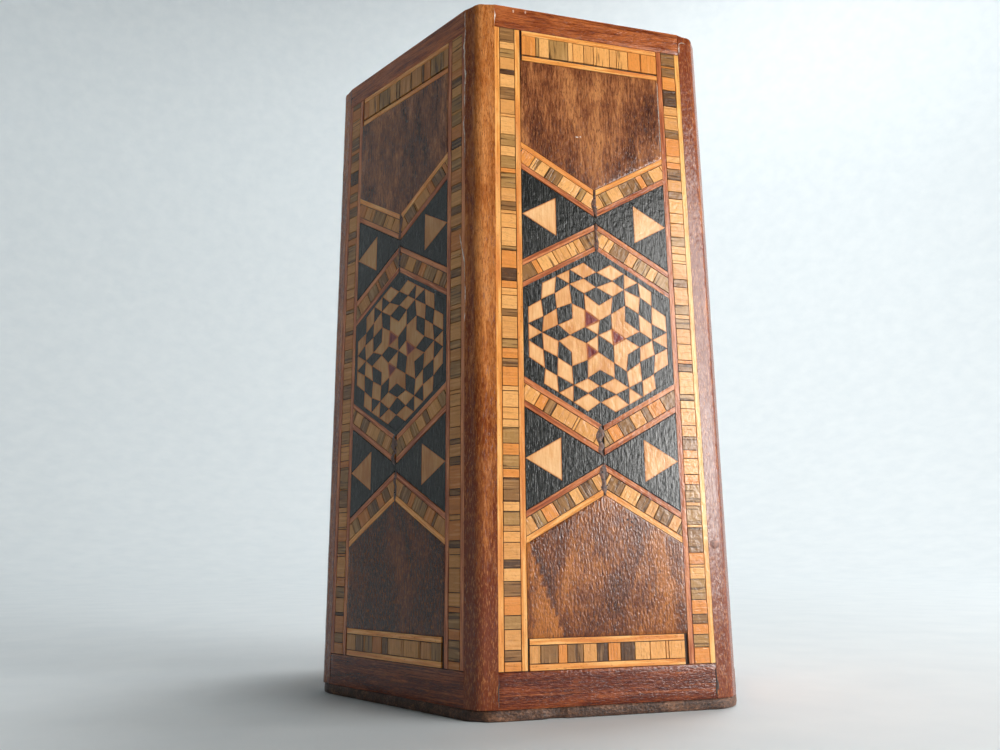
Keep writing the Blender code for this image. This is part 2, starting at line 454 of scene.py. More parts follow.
bead_wood = wood("orange brown bead", shade(112, 46, 12), shade(178, 104, 48), shade(212, 140, 80),
                 fleck=(1.5, 0.26), mottle=(12.0, 2.0), pores=0.6, gloss=0.22)
for number in range(1, SIDES + 1):
    finished(f"bead_strip_{number}", corner_bead(number), bead_wood, f"corner_bead_{number}")


# Rails
# Above and below the inlay a strip of red-brown wood runs from bead to bead, grain along it, its arrises
# softened a little.

def on_side(number, name, mesh, material, node):
    """A facing made flat on the bench, finished and stood up against its side: X across, Y up, Z
    outward."""
    upright = Matrix.Translation((0, -surface, 0)) @ Matrix.Rotation(math.pi / 2, 4, "X")
    mesh.transform(Matrix.Rotation((number - 1) * TURN, 4, "Z") @ upright)
    finished(name, mesh, material, node)


def cut(shape, point, normal, near=1e-7, clear_outer=False):
    """Cuts a shape across. What lies past the cut may be cleared away."""
    everything = shape.verts[:] + shape.edges[:] + shape.faces[:]
    bmesh.ops.bisect_plane(shape, geom=everything, dist=near, plane_co=point, plane_no=normal,
                           clear_outer=clear_outer)


def flat_board(name, outline, depth, cell, soften, wave, seed):
    """A facing on the bench: its face at z 0 divided into cells, softened round the edge and a
    little uneven, with sides going down to depth."""
    shape = bmesh.new()
    shape.faces.new([shape.verts.new((x, y, 0)) for x, y in outline])
    for axis in (0, 1):
        low = min(point[axis] for point in outline)
        high = max(point[axis] for point in outline)
        count = max(1, round((high - low) / cell))
        for step in range(1, count):
            point = Vector((0, 0, 0))
            point[axis] = low + (high - low) * step / count
            normal = Vector((0, 0, 0))
            normal[axis] = 1
            cut(shape, point, normal)
    made = bmesh.ops.extrude_face_region(shape, geom=shape.faces[:])
    lowered = [part for part in made["geom"] if isinstance(part, bmesh.types.BMVert)]
    bmesh.ops.translate(shape, vec=(0, 0, -depth), verts=lowered)
    bmesh.ops.recalc_face_normals(shape, faces=shape.faces)
    rim_edges = [edge for edge in shape.edges if edge.calc_face_angle() > 1 and edge.verts[0].co.z > -1e-7
                 and edge.verts[1].co.z > -1e-7]
    bmesh.ops.bevel(shape, geom=rim_edges, offset=soften, segments=2, profile=0.5, affect="EDGES")
    for vertex in shape.verts:
        if vertex.co.z > -depth / 2:
            probe = Vector((vertex.co.x, vertex.co.y, seed * 3.1))
            vertex.co.z -= wave * (1 + noise.noise(probe * 420))
    mesh = closed(shape, name)
    mesh.shade_smooth()
    mesh.set_sharp_from_angle(angle=SOFT)
    return mesh


def oblong(left, right, bottom, top):
    return [(left, bottom), (right, bottom), (right, top), (left, top)]


# Painted light and shade: the top rail is painted paler and the bottom rail darker.
RAIL_LIGHT_AND_SHADE = {"bottom_rail": 0.07, "top_rail": -0.09}
grown = (joint - SEAM) / 2
rail_wood = wood("red brown rail", shade(72, 22, 8), shade(114, 48, 20), shade(178, 98, 50),
                 fleck=(2.6, 0.17), mottle=(9.0, 1.2), lump=(0.6, 0.3), pores=0.5, streaks=0.5, gloss=0.16)
for number in range(1, SIDES + 1):
    for rail, age in RAIL_LIGHT_AND_SHADE.items():
        top_end = rail == "top_rail"
        node = f"{rail}_{number}"
        low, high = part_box(f"{rail}_1")
        bottom = low.z - grown if top_end else base_top + SEAM
        top = high.z if top_end else high.z + grown
        half = facing_half + grown
        mesh = flat_board(node, oblong(-half, half, bottom, top), facing_depth, cell=0.9 * MM,
                          soften=0.06 * MM, wave=0.015 * MM, seed=number + 10 * top_end)
        carry_grain(mesh, 0.0, number + 10 * top_end)
        marked(mesh, "age", "FLOAT", lambda x, y, z: age)
        on_side(number, f"{rail}_strip_{number}", mesh, rail_wood, node)


# Glue bed
# Between the rails the inlay is pressed into dark glue, which fills the seams between its pieces
# to just under the surface. It shows as the fine dark lines round every strip and tile.

BED_DEPTH = 0.25 * MM
inlay_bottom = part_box("border_banding_1")[0].z
inlay_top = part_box("border_banding_1")[1].z


def plain_finish(name, dark, light, rough, lumps, spread=0.2, depth=0.03 * MM):
    finish = Finish(name)
    cloud = finish.cloud(finish.place(), (lumps, lumps, lumps))
    return finish.use(Base_Color=finish.ramp(cloud, [(0.35, dark), (0.65, light)]),
                      Roughness=rough + (cloud - 0.5) * spread, Normal=finish.relief(cloud, depth))


glue = plain_finish("dark glue", shade(26, 17, 12), shade(62, 40, 28), 0.65, 1500.0, 0.3, 0.05 * MM)
for number in range(1, SIDES + 1):
    half = facing_half + grown
    outline = oblong(-half, half, inlay_bottom - joint + SEAM, inlay_top + joint - SEAM)
    mesh = flat_board(f"glue_bed_{number}", outline, facing_depth - BED_DEPTH - SEAM, cell=8 * MM,
                      soften=SEAM, wave=0.0, seed=0)
    mesh.transform(Matrix.Translation((0, 0, -BED_DEPTH - 0.01 * MM)))
    on_side(number, f"glue_bed_{number}", mesh, glue, None)


# Plain veneers
# Above and below the crossings lies a piece of dark walnut veneer, cut to a point, grain upright.
# The thick lacquer over it is glossy and lumpy.

inlay_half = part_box("crossing_panel_1")[1].x
rosette_middle = (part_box("rosette_1")[0].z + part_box("rosette_1")[1].z) / 2
veneer_gap = joint / math.cos(HALF_TURN)
slope = math.tan(HALF_TURN)
shoulder_rise = inlay_half * slope
crossing_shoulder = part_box("crossing_panel_1")[1].z - rosette_middle
crossing_notch = crossing_shoulder - shoulder_rise

veneer_woods = {
    "upper": wood("upper walnut veneer", shade(60, 28, 18), shade(124, 70, 40), shade(186, 122, 72),
                  fleck=(2.0, 0.3), mottle=(8.0, 2.6), pores=0.6, gloss=0.19, ripple=0.7),
    "lower": wood("lower walnut veneer", shade(60, 26, 10), shade(112, 56, 20), shade(176, 104, 40),
                  fleck=(1.5, 0.28), mottle=(9.0, 4.0), lump=(0.6, 0.28), pores=0.6, gloss=0.12, ripple=1.0)}
PALE_CORNER = (23.5 * MM, 0.36)                # its top on the left edge, and its slant


# Each side's veneers differ a little in tone. The sixth side's lower piece, on the left face, is darkened
# much more, as painted shade.
SIDE_TONES_AND_SHADE = {1: (0.0, 0.02, -0.03, 0.03, -0.02, 0.02), -1: (-0.01, 0.02, 0.03, -0.03, 0.02, 0.13)}


def figured(mesh, number, way):
    """Marks the figure of the wood, paler and darker places, and painted shade on the sixth side's lower
    piece. On the first side's lower piece a pale streak runs out through the left corner, with a dark line
    along it that is painted shadow."""
    def age(x, y, z):
        value = 0.12 * noise.noise(Vector((x * 110, y * 70, number * 3.7 + way))) + SIDE_TONES_AND_SHADE[way][number - 1]
        past = (x + inlay_half) - (PALE_CORNER[0] - y) * PALE_CORNER[1]
        if (number, way) == (1, -1):
            # Left of the slant the streak is paler wood; right of it a dark line fades out, a painted shadow.
            value += -0.12 if past < 0 else 0.14 * max(0.0, 1 - past / (1.6 * MM))
        return value

    marked(mesh, "age", "FLOAT", age)


for number in range(1, SIDES + 1):
    for way, label in ((1, "upper"), (-1, "lower")):
        node = f"{label}_veneer_{number}"
        low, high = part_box(f"{label}_veneer_1")
        far = high.z + grown if way > 0 else low.z - grown
        slant = 2 * grown / math.cos(HALF_TURN)
        shoulder = rosette_middle + way * (crossing_shoulder + veneer_gap - slant)
        tip = rosette_middle + way * (crossing_notch + veneer_gap - slant)
        half = inlay_half + grown
        drop = grown * slope
        outline = [(-half, far), (-half, shoulder + way * drop), (0, tip), (half, shoulder + way * drop),
                   (half, far)]
        if way > 0:
            outline.reverse()
        mesh = flat_board(node, outline, BED_DEPTH, cell=0.5 * MM, soften=0.02 * MM, wave=0.012 * MM,
                          seed=number + way)
        carry_grain(mesh, math.pi / 2, number * 2 + way)
        figured(mesh, number, way)
        on_side(number, f"{label}_plain_veneer_{number}", mesh, veneer_woods[label], node)


# Border banding
# The banding is glued up from two thin strings, mostly of orange wood, with a row of small blocks
# of mixed woods between them, then sliced and laid round the field, its long strips up both edges
# and the short ones, the top one wider, between them.

STRING = 0.80 * MM
BLOCK_LENGTH = 1.75 * MM
TOP_GAP = 0.22 * MM                            # open joint over the top strip's lower string
WHOLE = 1.0                                    # longer than any strip, which leaves it whole
UNEVEN = 0.02 * MM                             # how deep a block or tile may lie
RAGGED = 0.05                                  # share of its width that a block may lack
BOTTOM_SHORT = (0.2 * MM, 0.5 * MM)            # how much the bottom strip lacks, left and right
TOP_SHORT = 0.3 * MM                           # how much the top strip lacks on the left
border_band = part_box("border_banding_1")[1].x - inlay_half - joint
top_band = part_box("border_banding_1")[1].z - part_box("upper_veneer_1")[1].z - joint
laid_over = joint - 2 * SEAM                   # how much wider a strip is than the frame's


def strip_tree():
    """Lays boxes end to end along lines, whose points carry the width of their strip. Each box gets a
    tone, every other one high, and the grain of its strip."""
    tree = bpy.data.node_groups.new("laid strips", "GeometryNodeTree")
    tree.interface.new_socket("Geometry", in_out="OUTPUT", socket_type="NodeSocketGeometry")
    kinds = {"Lines": "Geometry", "Block length": "Float", "Length scatter": "Float", "Seam": "Float",
             "Thickness": "Float", "Unevenness": "Float", "Raggedness": "Float", "Seed": "Int",
             "Wood": "Material"}
    for name, kind in kinds.items():
        tree.interface.new_socket(name, in_out="INPUT", socket_type=f"NodeSocket{kind}")
    net = Net(tree)
    given = net.node("NodeGroupInput", {}, {})
    lines, length, scatter, seam, thickness, unevenness, raggedness, seed, timber = (
        given.out(name) for name in kinds)

    def add(kind, inputs, **settings):
        return net.node(kind, settings, inputs)

    def chance(low, high, seed=seed):
        return net.node("FunctionNodeRandomValue", {"data_type": "FLOAT"}, {2: low, 3: high, "Seed": seed}, 1)

    def stored(name):
        return add("GeometryNodeInputNamedAttribute", {"Name": name}, data_type="FLOAT")

    curve = add("GeometryNodeMeshToCurve", {"Mesh": lines})
    pieces = add("GeometryNodeResampleCurve", {"Curve": curve, "Length": length}, mode="LENGTH")
    ends = add("GeometryNodeCurveEndpointSelection", {})
    inner = add("FunctionNodeBooleanMath", {0: ends}, operation="NOT")
    moved = add("ShaderNodeVectorMath", {0: add("GeometryNodeInputTangent", {}),
                                         "Scale": chance(-0.5, 0.5) * scatter * length}, operation="SCALE")
    placed = add("GeometryNodeSetPosition", {"Geometry": pieces, "Selection": inner, "Offset": moved})
    edges = add("GeometryNodeCurveToMesh", {"Curve": placed})
    corners = add("GeometryNodeInputMeshEdgeVertices", {})
    run = net.vector("SUBTRACT", corners.out("Position 2"), corners.out("Position 1"))
    kept = add("GeometryNodeCaptureAttribute", {"Geometry": edges, "Kept": run}, domain="EDGE",
               kept="VECTOR")
    run = kept.out("Kept")
    spots = add("GeometryNodeMeshToPoints", {"Mesh": kept}, mode="EDGES")
    size = add("ShaderNodeCombineXYZ", {"X": net.vector("LENGTH", run, output="Value") - seam,
                                        "Y": stored("width") * chance(1.0 - raggedness, 1.0), "Z": thickness})
    turned = add("FunctionNodeAlignRotationToVector", {"Vector": run}, axis="X")
    block = add("GeometryNodeMeshCube", {"Size": (1.0, 1.0, 1.0)})
    laid = add("GeometryNodeInstanceOnPoints",
               {"Points": spots, "Instance": block, "Rotation": turned, "Scale": size})
    drop = add("ShaderNodeCombineXYZ", {"Z": thickness * -0.5 + chance(unevenness * -1.0, 0.0)})
    sunk = add("GeometryNodeTranslateInstances",
               {"Instances": laid, "Translation": drop, "Local Space": False})
    tone = (chance(0.0, 1.0, seed + 50.0) + add("GeometryNodeInputIndex", {}) % 2.0) * 0.5
    toned = add("GeometryNodeStoreNamedAttribute", {"Geometry": sunk, "Name": "tone", "Value": tone},
                data_type="FLOAT", domain="INSTANCE")
    real = add("GeometryNodeRealizeInstances", {"Geometry": toned})
    place = add("GeometryNodeInputPosition", {})
    forward = net.vector("NORMALIZE", run)
    sideways = net.vector("CROSS_PRODUCT", (0.0, 0.0, 1.0), forward)
    stock = add("ShaderNodeCombineXYZ", {"X": net.vector("DOT_PRODUCT", place, forward, output="Value"),
                                         "Y": net.vector("DOT_PRODUCT", place, sideways, output="Value"),
                                         "Z": stored("tone")})
    grained = add("GeometryNodeStoreNamedAttribute", {"Geometry": real, "Name": "grain", "Value": stock},
                  data_type="FLOAT_VECTOR", domain="POINT")
    coloured = add("GeometryNodeSetMaterial", {"Geometry": grained, "Material": timber})
    add("NodeGroupOutput", {0: coloured})
    return tree


def run_tree(tree, mesh, values):
    """The plain mesh that a tree makes of a mesh, with the tree's named inputs set."""
    host = bpy.data.objects.new("bench", mesh)
    modifier = host.modifiers.new("laying", "NODES")
    modifier.node_group = tree
    for item in tree.interface.items_tree:
        if item.in_out == "INPUT" and item.name in values:
            modifier[item.identifier] = values[item.name]
    bpy.context.scene.collection.objects.link(host)
    evaluated = host.evaluated_get(bpy.context.evaluated_depsgraph_get())
    made = bpy.data.meshes.new_from_object(evaluated)
    host.modifiers.remove(modifier)
    bpy.data.objects.remove(host, do_unlink=True)
    return made


def strip_lines(lines):
    """Lines for the strip tree, each given as its two ends, its width, and which arm it is on."""
    mesh = bpy.data.meshes.new("lines")
    points = []
    for start, end, width, arm in lines:
        points += [(*start, 0.0), (*end, 0.0)]
    mesh.from_pydata(points, [(index, index + 1) for index in range(0, len(points), 2)], [])
    for name, order in (("width", 2), ("arm", 3)):
        marks = mesh.attributes.new(name, "FLOAT", "POINT").data
        marks.foreach_set("value", [line[order] for line in lines for end in (0, 1)])
    return mesh


def banding_lines(start, end, band, arm=0.0, gap=0.0):
    """One strip of banding: the line of its blocks and the lines of its two strings. The blocks may
    leave a gap to the string on their right hand."""
    start, end = Vector(start), Vector(end)
    over = Vector((-(end - start).y, (end - start).x)).normalized()

    def line(aside, width):
        return (start + over * aside, end + over * aside, width, arm)

    aside = (band - STRING) / 2
    blocks = line(gap / 2, band - 2 * STRING - 3 * SEAM - gap)
    return blocks, [line(aside, STRING - SEAM), line(-aside, STRING - SEAM)]


LITTLE, MUCH = (0.16, 0.16, 0.16, 1.0), (0.75, 0.75, 0.75, 1.0)
LINED = [(0.0, LITTLE), (0.5, MUCH), (0.68, LITTLE), (0.78, MUCH)]


def lacquered(finish, grain, colour, ridges, lumps):
    """Puts glossy lacquer over inlay. Its film is lumpy, and ridges is how far the wood shows in it."""
    film = finish.cloud(grain, (lumps, lumps, 0.0), 2.0)
    return finish.use(Base_Color=colour, Roughness=0.18 + (film - 0.5) * 0.12,
                      Normal=finish.relief(film + ridges, 0.05 * MM))


def block_finish(name, stops):
    """Blocks of mixed woods. Each has one tone, and fine dark lines of its own run across the strip."""
    finish = Finish(name)
    grain = finish.carried("grain")
    tone = finish.carried("tone", "Fac")
    colour = finish.ramp(tone, stops, "CONSTANT")
    lined = finish.ramp(tone, LINED, "CONSTANT")
    lines = finish.cloud(grain, (2800.0, 160.0, 9000.0), 2.0, 0.5)
    flecks = finish.cloud(grain, (5200.0, 1500.0, 9000.0), 2.0)
    darker = finish.band(lines, 0.56, 0.63)
    colour = finish.mix(darker * lined, colour, shade(66, 40, 20))
    colour = finish.mix(finish.band(flecks, 0.5, 0.75) * 0.35, colour, shade(140, 88, 44))
    colour = finish.mix(finish.band(lines, 0.45, 0.32) * 0.2, colour, shade(240, 186, 124))
    return lacquered(finish, grain, colour, darker * -0.3, 1500.0)


def string_finish(name, dark, middle, light, red):
    """Strings of one wood, some of them redder, with streaks along them."""
    finish = Finish(name)
    grain = finish.carried("grain")
    streaks = finish.cloud(grain, (160.0, 2600.0, 30.0))
    colour = finish.ramp(streaks, [(0.35, dark), (0.5, middle), (0.65, light)])
    patches = finish.cloud(grain, (60.0, 300.0, 900.0), 2.0) + finish.carried("tone", "Fac") * 0.16
    colour = finish.mix(finish.band(patches, 0.58, 0.78) * 0.6, colour, red)
    specks = finish.cloud(grain, (1800.0, 5200.0, 900.0), 2.0)
    colour = finish.mix(finish.band(specks, 0.6, 0.74) * 0.5, colour, shade(110, 58, 28))
    return lacquered(finish, grain, colour, streaks * 0.3, 1300.0)


BLOCK_TONES = [(0.0, shade(214, 150, 84)), (0.19, shade(218, 138, 66)), (0.37, shade(228, 166, 98)),
               (0.52, shade(166, 124, 72)), (0.68, shade(226, 160, 90)), (0.8, shade(138, 98, 58)),
               (0.96, shade(86, 60, 42))]
PAINTED_SHADE = (0.68, 0.63, 0.5)


def darkening(colour):
    """A light wood's colour darkened as painted shade, for the even sides."""
    return (*[channel * share for channel, share in zip(colour, PAINTED_SHADE)], 1.0)


strips = strip_tree()
# Painted shade: the first finish is a darkened copy of the block woods, used on the even sides, the shaded
# left face among them.
shaded_tones = [(tone, darkening(colour)) for tone, colour in BLOCK_TONES]
blocks_woods = (block_finish("painted shade banding blocks", shaded_tones),
                block_finish("banding blocks", BLOCK_TONES))
string_wood = string_finish("orange string", shade(208, 128, 58), shade(230, 154, 78),
                            shade(242, 182, 110), shade(206, 120, 66))
pale_string_wood = string_finish("pale string", shade(222, 150, 78), shade(240, 178, 98),
                                 shade(248, 200, 130), shade(226, 150, 84))
red_string_wood = string_finish("red brown string", shade(134, 66, 40), shade(172, 96, 56),
                                shade(208, 132, 84), shade(216, 142, 88))


def lay_strips(lines, block_length, scatter, seed, material):
    values = {"Block length": block_length, "Length scatter": scatter, "Seam": 3 * SEAM,
              "Thickness": BED_DEPTH, "Unevenness": UNEVEN, "Raggedness": RAGGED if scatter else 0.0,
              "Seed": seed, "Wood": material}
    return run_tree(strips, strip_lines(lines), values)


for number in range(1, SIDES + 1):
    half = facing_half + grown
    upright = border_band + laid_over
    edge = half - SEAM - upright / 2
    across = inlay_half + grown
    bottom, top = inlay_bottom - grown, inlay_top + grown
    border = [((-edge, bottom), (-edge, top), upright), ((edge, bottom), (edge, top), upright),
              ((-across + BOTTOM_SHORT[0], inlay_bottom + border_band / 2),
               (across - BOTTOM_SHORT[1], inlay_bottom + border_band / 2), upright),
              ((-across + TOP_SHORT, inlay_top - top_band / 2), (across, inlay_top - top_band / 2),
               top_band + laid_over)]
    blocks, strings = [], []
    for start, end, band in border:
        row, pair = banding_lines(start, end, band, gap=TOP_GAP if band > upright else 0.0)
        blocks.append(row)
        strings += pair
    red = [strings.pop(2)] if number % 2 else strings[:4]
    pale = [strings.pop(2)] if number % 2 else []
    orange = strings if number % 2 else strings[4:]
    for label, lines, length, scatter, material in (
            ("border_blocks", blocks, BLOCK_LENGTH, 1.1, blocks_woods[number % 2]),
            ("border_strings", orange, WHOLE, 0.0, string_wood),
            ("red_strings", red, WHOLE, 0.0, red_string_wood),
            ("pale_strings", pale, WHOLE, 0.0, pale_string_wood)):
        if lines:
            mesh = lay_strips(lines, length, scatter, number, material)
            on_side(number, f"{label}_{number}", mesh, material, f"border_banding_{number}")


# Crossings
# The same banding crosses the field twice in an X. Its eight arms are mitred where they meet in the
# middle and cut off along the border. The strings next to the plain veneers are orange, those next
# to the black wood are red-brown.

ARM_OVERRUN = 4 * MM
MITRE = 0.22 * MM                              # half the filled joint between two arms
arm_depth = border_band / math.cos(HALF_TURN)
edging_point = 2 * shoulder_rise
waist = crossing_notch - edging_point - 2 * arm_depth


def arm_lines():
    """Blocks, outer strings and inner strings of the eight arms of one side."""
    blocks, outer, inner = [], [], []
    for crossing in (1, -1):
        for arm in (1, -1):
            for level, rise in ((crossing_notch - arm_depth / 2, 1), (edging_point + arm_depth / 2, -1)):
                start, end = (Vector((arm * x, rosette_middle + crossing * (level + rise * x * slope)))
                              for x in (-ARM_OVERRUN, inlay_half + ARM_OVERRUN))
                row, pair = banding_lines(start, end, border_band, arm)
                blocks.append(row)
                for string in pair:
                    beside_veneer = rise > 0 and crossing * (string[0].y - start.y) > 0
                    (outer if beside_veneer else inner).append(string)
    return blocks, outer, inner


def mitred(mesh):
    """Cuts the arms off along the border and mitres them in the middle."""
    shape = bmesh.new()
    shape.from_mesh(mesh)
    arm = shape.verts.layers.float["arm"]
    for way in (1, -1):
        cut(shape, (way * (inlay_half + grown), 0, 0), (way, 0, 0), 1e-8, True)
    for x in (MITRE, -MITRE):
        cut(shape, (x, 0, 0), (1, 0, 0), 1e-8)
    past = [face for face in shape.faces
            if face.calc_center_median().x * (1 if face.verts[0][arm] > 0 else -1) < MITRE]
    bmesh.ops.delete(shape, geom=past, context="FACES")
    open_edges = [edge for edge in shape.edges if edge.is_boundary]
    bmesh.ops.holes_fill(shape, edges=open_edges, sides=0)
    bmesh.ops.recalc_face_normals(shape, faces=shape.faces)
    shape.to_mesh(mesh)
    shape.free()
    return mesh


for number in range(1, SIDES + 1):
    blocks, outer, inner = arm_lines()
    for label, lines, length, scatter, material in (
            ("arm_blocks", blocks, BLOCK_LENGTH * 1.15, 1.0, blocks_woods[number % 2]),
            ("arm_outer_strings", outer, WHOLE, 0.0, string_wood),
            ("arm_inner_strings", inner, WHOLE, 0.0, red_string_wood)):
        mesh = mitred(lay_strips(lines, length, scatter, 20 + number, material))
        on_side(number, f"{label}_{number}", mesh, material, f"crossing_panel_{number}")


# Star points
# Beside each crossing lies a star point left and right: a light triangle, its tip at the border,
# with a black triangle on each of its three sides. The dyed black wood shows upright grain.

BLACK, LIGHT, PLUM = 0.1, 0.5, 0.9             # tones


def tile_finish(name, black, light, plum):
    """Tiles: a tone under a third is black, over two thirds plum, light between."""
    finish = Finish(name)
    grain = finish.carried("grain")
    tone = finish.carried("tone", "Fac")
    lines = finish.cloud(grain, (420.0, 5200.0, 60.0), 3.0, 0.6)
    clouds = finish.cloud(grain, (150.0, 400.0, 60.0), 2.0)
    blacks = finish.ramp(lines, [(0.32, black[0]), (0.55, black[1]), (0.75, black[2])])
    paler = lines * 0.45 + clouds * 0.55 + tone - 0.5
    lights = finish.ramp(paler, [(0.36, light[0]), (0.5, light[1]), (0.64, light[2])])
    plums = finish.ramp(lines, [(0.35, plum[0]), (0.65, plum[1])])
    is_light, is_plum = tone > 1 / 3, tone > 2 / 3
    colour = finish.mix(is_plum, finish.mix(is_light, blacks, lights), plums)
    stain = finish.carried("stain", "Fac") + (clouds - 0.5) * 0.8
    colour = finish.mix(finish.band(stain, 0.28, 1.0) * is_light * 0.85, colour, shade(186, 106, 54))
    return lacquered(finish, grain, colour, lines * (1 - is_light) * 0.5, 1300.0)


BLACKS = [shade(17, 18, 17), shade(34, 35, 33), shade(76, 75, 70)]
LIGHTS = [shade(204, 140, 84), shade(224, 168, 112), shade(234, 188, 136)]
PLUMS = [shade(92, 32, 36), shade(136, 62, 58)]
# Painted shade: the first finish has its light tiles darkened, and the even sides use it.
tile_woods = (tile_finish("painted shade mosaic tiles", BLACKS, [darkening(colour) for colour in LIGHTS], PLUMS),
              tile_finish("mosaic tiles", BLACKS, LIGHTS, PLUMS))


def inset(outline, gap):
    """An outline drawn in by half a gap on every side."""
    count = len(outline)
    area = sum(outline[index - 1][0] * outline[index][1] - outline[index - 1][1] * outline[index][0]
               for index in range(count))
    lines = []
    for index in range(count):
        start, end = Vector(outline[index]), Vector(outline[(index + 1) % count])
        normal = Vector(((end - start).y, -(end - start).x)).normalized() * (-1 if area > 0 else 1)
        lines.append((start + normal * gap / 2, (end - start).normalized()))
    corners = []
    for index in range(count):
        (first, along), (second, ahead) = lines[index - 1], lines[index]
        turn = along.x * ahead.y - along.y * ahead.x
        reach = ((second - first).x * ahead.y - (second - first).y * ahead.x) / turn
        corners.append(first + along * reach)
    return corners


STAIN_REACH = 0.6 * MM


def tile_prisms(name, tiles, seed):
    """Flat tiles on the bench. Each is an outline and a tone, and sits a hair high or low. The glue
    has stained its rim, which is marked on the points."""
    chance = random.Random(seed)
    shape = bmesh.new()
    tone = shape.verts.layers.float.new("tone")
    stain = shape.verts.layers.float.new("stain")
    grain = shape.verts.layers.float_vector.new("grain")
    for outline, value in tiles:
        top = -chance.random() * UNEVEN
        stretch_of_wood = chance.random()
        value += chance.uniform(-0.05, 0.06) if value == LIGHT else 0
        rows = []
        for z, gap, share in ((-BED_DEPTH, SEAM, 1.0), (top, SEAM, 1.0), (top, STAIN_REACH, 0.0)):
            row = [shape.verts.new((point.x, point.y, z)) for point in inset(outline, gap)]
            rows.append(row)
            for vertex in row:
                vertex[tone] = value
                vertex[stain] = share
                vertex[grain] = (vertex.co.y + stretch_of_wood, vertex.co.x, stretch_of_wood)
        skinned(shape, rows)
    return closed(shape, name)


STAR_DEPTH = 5.3 * MM


def star_tiles():
    tiles = []
    half = inlay_half + grown
    back = half - STAR_DEPTH
    spread = STAR_DEPTH * slope
    for crossing in (1, -1):
        level = rosette_middle + crossing * (edging_point + arm_depth + waist / 2)
        near, halfway, far = (waist / 2 + x * slope - grown for x in (0, back, half))
        for arm in (1, -1):
            tip = (arm * half, level)
            upper, lower = (arm * back, level + spread), (arm * back, level - spread)
            top, foot = (arm * back, level + halfway), (arm * back, level - halfway)
            tiles.append(([(0, level + near), top, foot, (0, level - near)], BLACK))
            tiles.append(([upper, tip, lower], LIGHT))
            tiles.append(([top, (arm * half, level + far), tip, upper], BLACK))
            tiles.append(([lower, tip, (arm * half, level - far), foot], BLACK))
    return tiles


for number in range(1, SIDES + 1):
    mesh = tile_prisms("star_points", star_tiles(), 40 + number)
    on_side(number, f"star_points_{number}", mesh, tile_woods[number % 2], f"crossing_panel_{number}")


# Rosette
# The hexagonal mosaic is sliced from a block of glued-up rods. Round a star of six rhombi, every
# other one black and the rest half light and half plum, come six light arrowheads, then black
# and light rhombi in turn, out to a hexagon five tiles on each side with a dark edging.

TILES_ON_A_SIDE = 5
rosette_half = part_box("rosette_1")[1].x
tile = rosette_half / (TILES_ON_A_SIDE * math.cos(HALF_TURN))


SLACK, RIM_SLACK = 0.25 * MM, 0.05 * MM        # how far a corner may lie off its place


def handmade(tiles, seed):
    """Moves each corner that tiles share by a little, the same way in all of them."""
    chance = random.Random(seed)
    moved = {}
    result = []
    for outline, tone in tiles:
        corners = []
        for corner in outline:
            key = (round(corner[0] / RIM_SLACK), round(corner[1] / RIM_SLACK))
            if key not in moved:
                reach = RIM_SLACK if corner.length > (TILES_ON_A_SIDE - 0.8) * tile else SLACK
                moved[key] = Vector((chance.uniform(-reach, reach), chance.uniform(-reach, reach)))
            corners.append(corner + moved[key])
        result.append((corners, tone))
    return result


def spoke(angle, length):
    return Vector((math.cos(angle), math.sin(angle))) * length


def rosette_tiles():
    """Every tile of a rosette as an outline and a tone, about its middle."""
    tiles = []
    for sector in range(SIDES):
        ahead = math.pi / 2 + sector * TURN
        out, left, right = (spoke(ahead + turned, tile) for turned in (0, TURN, -TURN))
        centre = Vector((0, 0))
        if sector % 2:
            tiles.append(([centre, out, out + left, left], BLACK))
        else:
            tiles.append(([centre, out, left], LIGHT))
            tiles.append(([out, out + left, left], PLUM))
        tiles.append(([out, out + right, out * 2 + right, out * 2, out * 2 + left, out + left], LIGHT))
        gap = out + left
        tiles.append(([gap, gap + out, gap + out + left, gap + left], BLACK))
        start = out * 2
        for i in range(TILES_ON_A_SIDE - 2):
            for j in range(TILES_ON_A_SIDE - 2):
                corner = start + left * i + right * j
                whole = [corner, corner + left, corner + left + right, corner + right]
                if abs(i - j) < 2:
                    tiles.append((whole, LIGHT if (i + j) % 2 else BLACK))
                elif i > j:
                    tiles.append(([corner, corner + left + right, corner + right], BLACK))
                    tiles.append(([corner, corner + left, corner + left + right], LIGHT))
                else:
                    tiles.append(([corner, corner + left, corner + left + right], BLACK))
    return tiles


def edging_strips():
    """The thin dark strips round the mosaic, one along each side of the hexagon."""
    inner = TILES_ON_A_SIDE * tile
    outer = (inlay_half + grown) / math.cos(HALF_TURN)
    made = []
    for sector in range(SIDES):
        first, second = (math.pi / 2 + (sector + step) * TURN for step in (0, 1))
        made.append(([spoke(first, inner), spoke(second, inner), spoke(second, outer), spoke(first, outer)],
                     BLACK))
    return made


for number in range(1, SIDES + 1):
    for label, tiles, seed, node, slot in (
            ("rosette_tiles", handmade(rosette_tiles(), number), 60, f"rosette_{number}", "mosaic"),
            ("rosette_edging", edging_strips(), 70, f"crossing_panel_{number}", "black_inlay")):
        mesh = tile_prisms(label, tiles, seed + number)
        mesh.transform(Matrix.Translation((0, rosette_middle, 0)))
        on_side(number, f"{label}_{number}", mesh, tile_woods[number % 2], node)


# Dried glue and mends
# Pale glue has dried in ragged ridges along some joints, mostly beside the near bead and at the
# rim. There are a few chips and pits, a knot on the right bead, dark filler at the foot of its
# joint, and brown filler in the mitres of the crossings.

LET_IN = Vector((0, 0, 0.1 * MM))              # how deep glue and filler reach into the wood
RIDGE_PITCH = 0.35 * MM
RIDGE_HEIGHT, FILLER_HEIGHT, BLOB_HEIGHT = 0.03 * MM, 0.012 * MM, 0.02 * MM


